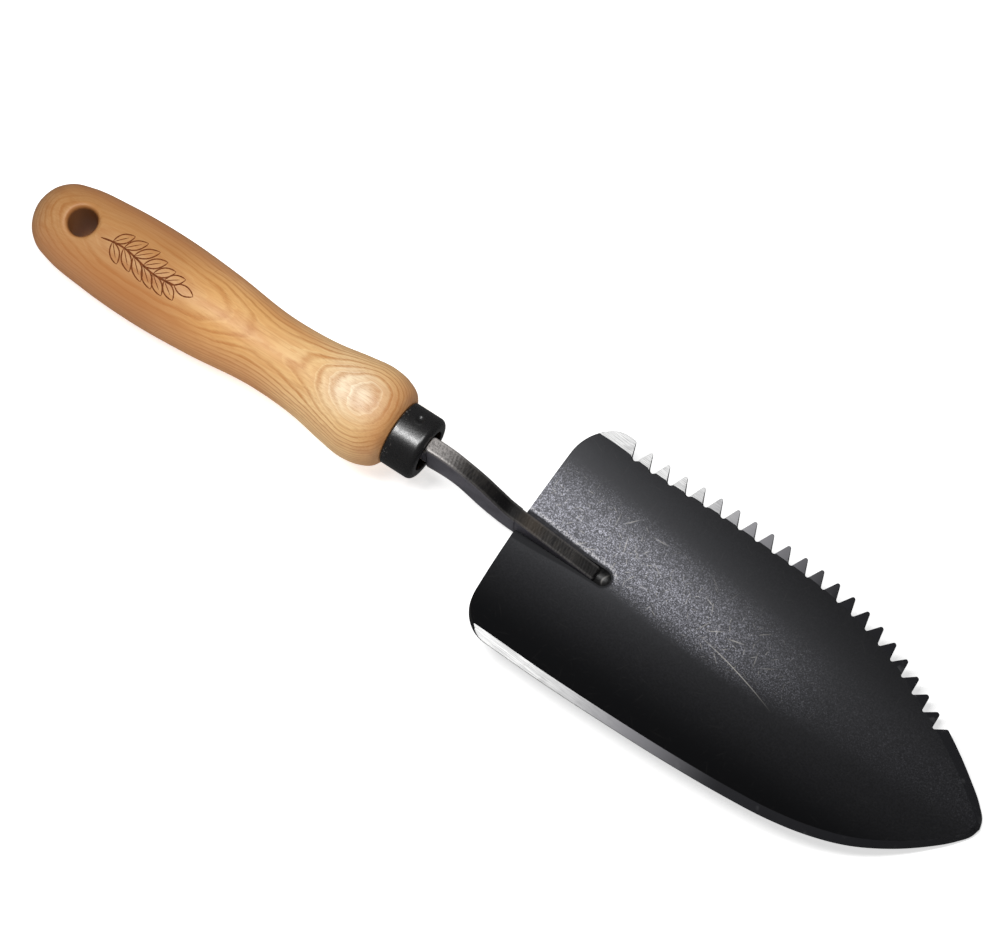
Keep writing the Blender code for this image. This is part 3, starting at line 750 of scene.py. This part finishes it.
def plate_ring(half, low, high, radius, across, upright):
    """Points round one upright section of a plate with rounded corners, and which are corners."""
    side, floor, roof = half - radius, low + radius, high - radius
    ring, corner = [], []
    for centre, start, edge, count in (
        ((side, roof), 0, ((side, high), (-side, high)), across),
        ((-side, roof), 90, ((-half, roof), (-half, floor)), upright),
        ((-side, floor), 180, ((-side, low), (side, low)), across),
        ((side, floor), 270, ((half, floor), (half, roof)), upright),
    ):
        ring += arc(centre, radius, start, start + 90, 4)
        corner += [1.0] * 5
        for share in np.linspace(0, 1, count + 1)[1:-1]:
            ring.append(tuple(np.array(edge[0]) * (1 - share) + np.array(edge[1]) * share))
            corner.append(0.0)
    return ring, corner


def rough_cut(x, y):
    """The drag lines that a torch leaves across a cut face."""
    random = np.random.default_rng(4)
    total = np.zeros_like(x)
    for _ in range(CUT_WAVES):
        pitch = random.uniform(*CUT_PITCHES)
        total += np.sin(math.tau * (x + CUT_SLANT * y) / pitch + random.uniform(0, math.tau))
    return CUT_HEIGHT * total


def make_neck():
    """One plate: a tang hidden in the grip, the bent neck, and the tongue in the blade's slot."""
    top, bottom = spline(NECK_TOP, 12), spline(NECK_BOTTOM, 12)
    sections = [(x, half, -tall, tall, radius) for x, half, tall, radius in TANG]
    plate = list(SHOULDER + ROOT_ROUNDING * (1 - np.cos(np.linspace(0, np.pi / 2, 7))))
    plate += list(np.linspace(SHOULDER + ROOT_ROUNDING + 0.2, PLATE_END, 150))
    for x in plate:
        drop = corner_trim(x - SHOULDER, ROOT_ROUNDING)
        high, low = np.interp(x, *top.T), np.interp(x, *bottom.T)
        half, low, high = PLATE_HALF - 0.8 * drop, low + 0.5 * drop, high - 0.5 * drop
        sections.append((x, half, low, high, PLATE_ROUNDING))
    for x in np.linspace(PLATE_END + 0.25, TONGUE_END - 0.4, 120):
        high, low = np.interp(x, *top.T), np.interp(x, *bottom.T)
        sections.append((x, TONGUE_HALF, low, high, TONGUE_ROUNDING))
    high, low = np.interp(TONGUE_END, *top.T), np.interp(TONGUE_END, *bottom.T)
    sections.append((TONGUE_END, TONGUE_HALF - 0.6, low + 0.6, high - 0.5, 0.3))
    points, corners, cut_faces = [], [], []
    for x, half, low, high, radius in sections:
        ring, corner = plate_ring(half, low, high, radius, 8, 10)
        points += [(x, y, z) for y, z in ring]
        corners += corner
        cut_faces += [float(z > high - radius * 0.6 or z < low + radius * 0.6) for _, z in ring]
    points = np.array(points)
    rough = rough_cut(points[:, 0], points[:, 1]) * np.array(cut_faces)
    rough *= np.clip((points[:, 0] - SHOULDER - 1.0) / 3.0, 0, 1)
    middle = np.repeat([(low + high) / 2 for _, _, low, high, _ in sections], len(ring))
    points[:, 2] -= np.abs(rough) * np.sign(points[:, 2] - middle)
    add_piece(
        "neck_plate", points, tube_faces(len(sections), len(ring)), TOOL, neck_black(),
        ["neck"],
        {"corner": ("POINT", corners), "cut_face": ("POINT", cut_faces)}, sharp=50.0,
    )


# ---------------------------------------------------------------- blade


def half_width(knots):
    """A function that gives the half width at a distance from the blade's rear edge."""
    curve = spline(knots, 10)
    return lambda u: np.interp(u, curve[:, 0], curve[:, 1])


PLAIN, SAW = half_width(PLAIN_SIDE), half_width(SAW_SIDE)
BLADE_LENGTH = PLAIN_SIDE[-1][0]


def bowed(u, y):
    """Plan position with the rear edge's bow, which fades out along the blade."""
    bow = SAW_BOW if y > 0 else PLAIN_BOW
    return (u + max(0.0, 1 - u / BOW_FADE) * bow * (y / 30.0) ** 2, y)


def filleted(points, radii):
    """A closed outline with its corners rounded, each by its own radius."""
    nearly_straight, share_of_side = math.radians(88), 0.48
    rounded = []
    for i, radius in enumerate(radii):
        before, at, after = (Vector(points[(i + k) % len(points)]) for k in (-1, 0, 1))
        if radius:
            to_before, to_after = (before - at).normalized(), (after - at).normalized()
            half = to_before.angle(to_after) / 2
        if not radius or half > nearly_straight:
            rounded.append(tuple(at))
            continue
        room = min((before - at).length, (after - at).length) * share_of_side
        reach = min(radius / math.tan(half), room)
        radius = reach * math.tan(half)
        centre = at + (to_before + to_after).normalized() * (radius / math.sin(half))
        first, last = at + to_before * reach - centre, at + to_after * reach - centre
        swing = first.angle_signed(last)
        for share in np.linspace(0, 1, 6):
            spoke = first.copy()
            spoke.rotate(Matrix.Rotation(-swing * share, 2))
            rounded.append(tuple(centre + spoke))
    return rounded


def saw_edge():
    """Corner points of the notches along the saw side, from the rear to the point."""
    steps = np.linspace(FIRST_NOTCH, LAST_NOTCH, 400)
    edge = np.stack([steps, SAW(steps)], axis=1)
    along = np.concatenate([[0], np.cumsum(np.linalg.norm(np.diff(edge, axis=0), axis=1))])
    points, radii = [], []
    for share in np.linspace(0.0, 1.0, NOTCHES):
        depth, gullet, lean = (
            np.interp(share, (0, 1), ends) for ends in (NOTCH_DEPTHS, GULLETS, NOTCH_LEANS)
        )
        lean = math.radians(lean)
        where = along[-1] * (share + CROWDING * share * (1 - share))
        centre = Vector([np.interp(where, along, edge[:, i]) for i in (0, 1)])
        tangent = Vector((2.0, SAW(centre.x + 1) - SAW(centre.x - 1))).normalized()
        inward = Vector((tangent.y, -tangent.x))
        apex = depth - gullet + gullet / math.sin(lean)
        mouth = apex * math.tan(lean)
        points += [centre - tangent * mouth, centre + inward * apex, centre + tangent * mouth]
        radii += [TOOTH_TIP, gullet, TOOTH_TIP]
    return points, radii


def blade_outline():
    """The whole plan outline, slot and teeth included, anticlockwise from the slot's plain side."""
    points, radii = [], []

    def add(path, radius=0.0):
        for u, y in path:
            points.append((u, y))
            radii.append(radius)

    plain_corner = [PLAIN_CORNER * (1 - math.cos(a)) for a in np.linspace(0, np.pi / 2, 15)]
    saw_corner = [SAW_CORNER * (1 - math.cos(a)) for a in np.linspace(np.pi / 2, 0, 15)]
    add([(0.0, -SLOT_HALF)], SLOT_ROUNDING)
    add([bowed(0.0, y) for y in np.linspace(-5.0, PLAIN_CORNER - PLAIN(0) + 1.5, 9)])
    add([bowed(u, corner_trim(u, PLAIN_CORNER) - PLAIN(u)) for u in plain_corner])
    add([bowed(u, -PLAIN(u)) for u in np.linspace(PLAIN_CORNER + 2, POINT_FROM[0], 90)])
    tip = BLADE_LENGTH - POINT_LENGTH * np.linspace(1, 0, 24)[1:] ** 1.6
    add([(u, -PLAIN(u)) for u in tip])
    add([(u, SAW(u)) for u in tip[::-1][1:]])
    teeth, tooth_radii = saw_edge()
    last, first = teeth[-1], teeth[0]
    add([(u, SAW(u)) for u in np.linspace(POINT_FROM[1], last.x + 1.5, 8)])
    points.extend(tuple(point) for point in reversed(teeth))
    radii.extend(reversed(tooth_radii))
    add([(first.x - 1.2, SAW(first.x - 1.2))])
    add([bowed(u, SAW(u) - corner_trim(u, SAW_CORNER)) for u in saw_corner])
    add([bowed(0.0, y) for y in np.linspace(SAW(0) - SAW_CORNER - 1.5, 5.0, 9)])
    add([(0.0, SLOT_HALF)], SLOT_ROUNDING)
    add([(u, SLOT_HALF) for u in np.linspace(2.5, SLOT_END - 1, 14)])
    add([(x, y) for x, y in reversed(arc((SLOT_END, 0.0), SLOT_HALF, -90.0, 90.0, 20))])
    add([(u, -SLOT_HALF) for u in np.linspace(SLOT_END - 1, 2.5, 14)])
    return np.array(filleted(points, radii))


def inset(outline, gap):
    """The outline moved inwards by a small gap."""
    run = np.roll(outline, -1, axis=0) - np.roll(outline, 1, axis=0)
    run /= np.linalg.norm(run, axis=1)[:, None]
    left = np.stack([-run[:, 1], run[:, 0]], axis=1)
    area = np.cross(outline, np.roll(outline, -1, axis=0)).sum()
    return outline + math.copysign(gap, area) * left


def within(points, outline):
    """Which points lie inside a closed outline."""
    x, y = points[:, 0][:, None], points[:, 1][:, None]
    x0, y0 = outline.T
    x1, y1 = np.roll(outline, -1, axis=0).T
    spans = (y0 > y) != (y1 > y)
    with np.errstate(divide="ignore", invalid="ignore"):
        meets = x < (x1 - x0) * (y - y0) / (y1 - y0) + x0
    return (spans & meets).sum(axis=1) % 2 == 1


def blade_share(plan):
    """How much of the sheet is left under each bevel, 1 where none is ground away."""
    u, y = plan.T
    saw, plain = (SAW(u) - y) / SAW_BEVEL, (PLAIN(u) + y) / PLAIN_BEVEL
    return EDGE_SHARE + (1 - EDGE_SHARE) * np.clip(np.minimum(saw, plain), 0, 1)


def rolled(plan, share):
    """The plan on the rolled sheet's lower face, moved a share of the way through to the upper."""
    lower = ROLL_RADIUS + SHEET
    turn = np.arcsin(plan[:, 1] / lower)
    radius = lower - share * SHEET
    return np.column_stack(
        [plan[:, 0], radius * np.sin(turn), ROLL_RADIUS - radius * np.cos(turn)]
    )


def blade_sheet(border):
    """Triangles over the plan outline, with edges along both bevels' inner lines."""
    spacing, off_border, off_line = 1.5, 0.8, 0.6
    rows = np.arange(1, BLADE_LENGTH, spacing), np.arange(-44, 45, spacing)
    grid = np.stack(np.meshgrid(*rows), axis=-1).reshape(-1, 2)
    grid[:, 0] += np.where(np.round(grid[:, 1] / spacing) % 2 == 0, spacing / 2, 0)
    grid = grid[within(grid, border)]
    grid = grid[nearest(grid, border) > off_border]
    lines = []
    for side, width, bevel in ((1, SAW, SAW_BEVEL), (-1, PLAIN, PLAIN_BEVEL)):
        u = np.linspace(1.0, BLADE_LENGTH - 2.4, 260)
        line = np.stack([u, side * (width(u) - bevel)], axis=1)
        line = line[within(line, border)]
        line = line[nearest(line, border) > 0.12]
        breaks = np.flatnonzero(np.diff(line[:, 0]) > 1.5 * (u[1] - u[0])) + 1
        lines += [run for run in np.split(line, breaks) if len(run) > 1]
    for line in lines:
        grid = grid[nearest(grid, line) > off_line]
    plan = [border, grid]
    edges = []
    for line in lines:
        first = sum(len(part) for part in plan)
        plan.append(line)
        edges += [(i, i + 1) for i in range(first, first + len(line) - 1)]
    loop = list(range(len(border)))
    made = delaunay_2d_cdt([Vector(p) for p in np.concatenate(plan)], edges, [loop], 1, 1e-6)
    return np.array([tuple(v) for v in made[0]]), [tuple(face) for face in made[2]], made[3]


def make_blade():
    """The rolled sheet between its two faces, with softened arrises all round its cut edge."""
    outline = blade_outline()
    border = inset(outline, EDGE_SOFTENING)
    plan, triangles, origins = blade_sheet(border)
    count, around = len(plan), len(outline)
    at_border = {old: new for new, olds in enumerate(origins) for old in olds if old < around}
    ring = [at_border[i] for i in range(around)]
    rim = blade_share(outline)
    step = np.minimum(EDGE_SOFTENING / SHEET, 0.25 * rim)
    points = np.concatenate(
        [
            rolled(plan, blade_share(plan)), rolled(plan, 0.0),
            rolled(outline, rim - step), rolled(outline, step),
        ]
    )
    middles = np.array([plan[list(face)].mean(axis=0) for face in triangles])
    ground = list((blade_share(middles) < 0.999).astype(float)) + [0.0] * len(triangles)
    faces = triangles + [tuple(i + count for i in reversed(face)) for face in triangles]
    high, low = 2 * count, 2 * count + around
    rim_ground = (rim < 0.7).astype(float)
    for i in range(around):
        j = (i + 1) % around
        faces.append((ring[i], ring[j], high + j, high + i))
        faces.append((high + i, high + j, low + j, low + i))
        faces.append((low + i, low + j, ring[j] + count, ring[i] + count))
        ground += [rim_ground[i], 0.0, 0.0]
    add_piece(
        "blade_shell", points, faces, BLADE, blade_black(), ["blade"],
        {"ground": ("FACE", ground)}, sharp=14.0,
    )


# ---------------------------------------------------------------- welds


def make_side_weld(name, node, side):
    """A rippled bead in the corner between the tongue and the sheet's underside."""
    inner, ceiling = TONGUE_HALF + WELD_GAP, -SHEET - WELD_GAP
    sections = np.linspace(*BEAD_ENDS, 150)
    points = []
    for u in sections:
        share = (u - BEAD_ENDS[0]) / (BEAD_ENDS[1] - BEAD_ENDS[0])
        swell = 0.45 + 0.55 * min(1.0, 6 * min(share, 1 - share))
        size = swell * (1 - RIPPLE_DEPTH * (1 - abs(math.sin(math.pi * u / RIPPLE_PITCH))))
        shape = [(inner, ceiling), (inner + swell * BEAD_WIDTH, ceiling)]
        for a in np.radians(np.linspace(8, 90, 11)):
            out, down = BEAD_WIDTH * math.cos(a), BEAD_HEIGHT * math.sin(a)
            shape.append((inner + size * out, ceiling - size * down))
        bend = 0.35 * np.array([(y - inner) / BEAD_WIDTH for y, _ in shape]) ** 2
        points += [(u - push, side * y, z) for (y, z), push in zip(shape, bend)]
    faces = tube_faces(len(sections), len(shape))
    add_piece(name, points, faces, BLADE, weld_dark(), [node], sharp=60.0)


def make_nose_weld():
    """The puddle that closes the slot's round end, dished in the middle and rippled outside."""
    under = -SHEET - WELD_GAP
    profile = list(PUDDLE_TOP)
    profile += [(under - depth, radius) for depth, radius in PUDDLE_UNDERSIDE]
    sides = 72
    points = []
    for z, radius in profile:
        for turn in np.linspace(0, math.tau, sides, endpoint=False):
            ahead, aside = math.cos(turn), math.sin(turn)
            ripple = radius * (1 + 0.02 * math.sin(9 * turn + 2.2 * radius))
            if ahead < 0:
                ahead, aside = np.array([ahead, aside]) / max(-ahead, abs(aside))
            reach = ripple if ahead > 0 else PUDDLE_MIDDLE - PUDDLE_REAR
            points.append((PUDDLE_MIDDLE + reach * ahead, ripple * aside, z))
    faces = tube_faces(len(profile), sides)
    add_piece(
        "weld_puddle", points, faces, BLADE, weld_dark(), ["weld_nose"], sharp=50.0
    )


# ---------------------------------------------------------------- stage


def make_floor():
    """A wide pale disc just under the tool, lit a little from within so that it stays even."""
    mesh = bpy.data.meshes.new("floor")
    disc = bmesh.new()
    bmesh.ops.create_circle(disc, cap_ends=True, radius=FLOOR_RADIUS, segments=96)
    disc.to_mesh(mesh)
    disc.free()
    floor = bpy.data.objects.new("floor", mesh)
    floor.location.z = -FLOOR_DEPTH
    bpy.context.collection.objects.link(floor)
    pale = Shader("pale_floor")
    pale.set(
        Base_Color=(0.86, 0.86, 0.86, 1), Roughness=0.9, Specular_IOR_Level=0.0,
        Emission_Color=(1, 1, 1, 1), Emission_Strength=0.65,
    )
    mesh.materials.append(pale.material)
    floor.visible_glossy = False


def area_light(name, place, aim, size, power):
    """A soft rectangular light, placed in the tool's millimetres."""
    light = bpy.data.lights.new(name, "AREA")
    light.shape = "RECTANGLE"
    light.size, light.size_y = size
    light.energy = power
    lamp = bpy.data.objects.new(name, light)
    lamp.location = TOOL @ Vector(place)
    to_aim = TOOL @ Vector(aim) - lamp.location
    lamp.rotation_euler = to_aim.to_track_quat("-Z", "Y").to_euler()
    bpy.context.collection.objects.link(lamp)


def make_lights():
    """Two soft lights over the tool, in a dim even room."""
    for row in LIGHTS:
        area_light(*row)
    world = bpy.data.worlds.new("studio")
    bpy.context.scene.world = world
    world.use_nodes = True
    background = world.node_tree.nodes["Background"].inputs
    background["Color"].default_value = (1, 1, 1, 1)
    background["Strength"].default_value = 0.10


def make_camera():
    """Looks at the tool from above, with the grip's axis running down to the right."""
    flat = Vector((0, math.cos(LEAN_TO_PLAIN_EDGE), math.sin(LEAN_TO_PLAIN_EDGE)))
    upright = Vector((0, -math.sin(LEAN_TO_PLAIN_EDGE), math.cos(LEAN_TO_PLAIN_EDGE)))
    forward = Vector((1, 0, 0))
    back = math.sin(LEAN_TO_POINT) * forward + math.cos(LEAN_TO_POINT) * upright
    level = math.cos(LEAN_TO_POINT) * forward - math.sin(LEAN_TO_POINT) * upright
    right = math.cos(CAMERA_ROLL) * level + math.sin(CAMERA_ROLL) * flat
    up = math.cos(CAMERA_ROLL) * flat - math.sin(CAMERA_ROLL) * level
    turn = Matrix((right, up, back)).transposed().to_4x4()
    place = Vector(CAMERA_AIM) + CAMERA_DISTANCE * back
    data = bpy.data.cameras.new("camera")
    data.lens = LENS
    camera = bpy.data.objects.new("camera", data)
    camera.matrix_world = TOOL.normalized() @ turn
    camera.location = TOOL @ place
    bpy.context.collection.objects.link(camera)
    bpy.context.scene.camera = camera


make_camera()
make_lights()
make_floor()
make_grip()
make_mark()
make_ferrule()
make_neck()
make_blade()
make_side_weld("weld_bead_plain", "weld_plain_side", -1)
make_side_weld("weld_bead_saw", "weld_saw_side", 1)
make_nose_weld()
bpy.context.scene.view_settings.view_transform = "Standard"
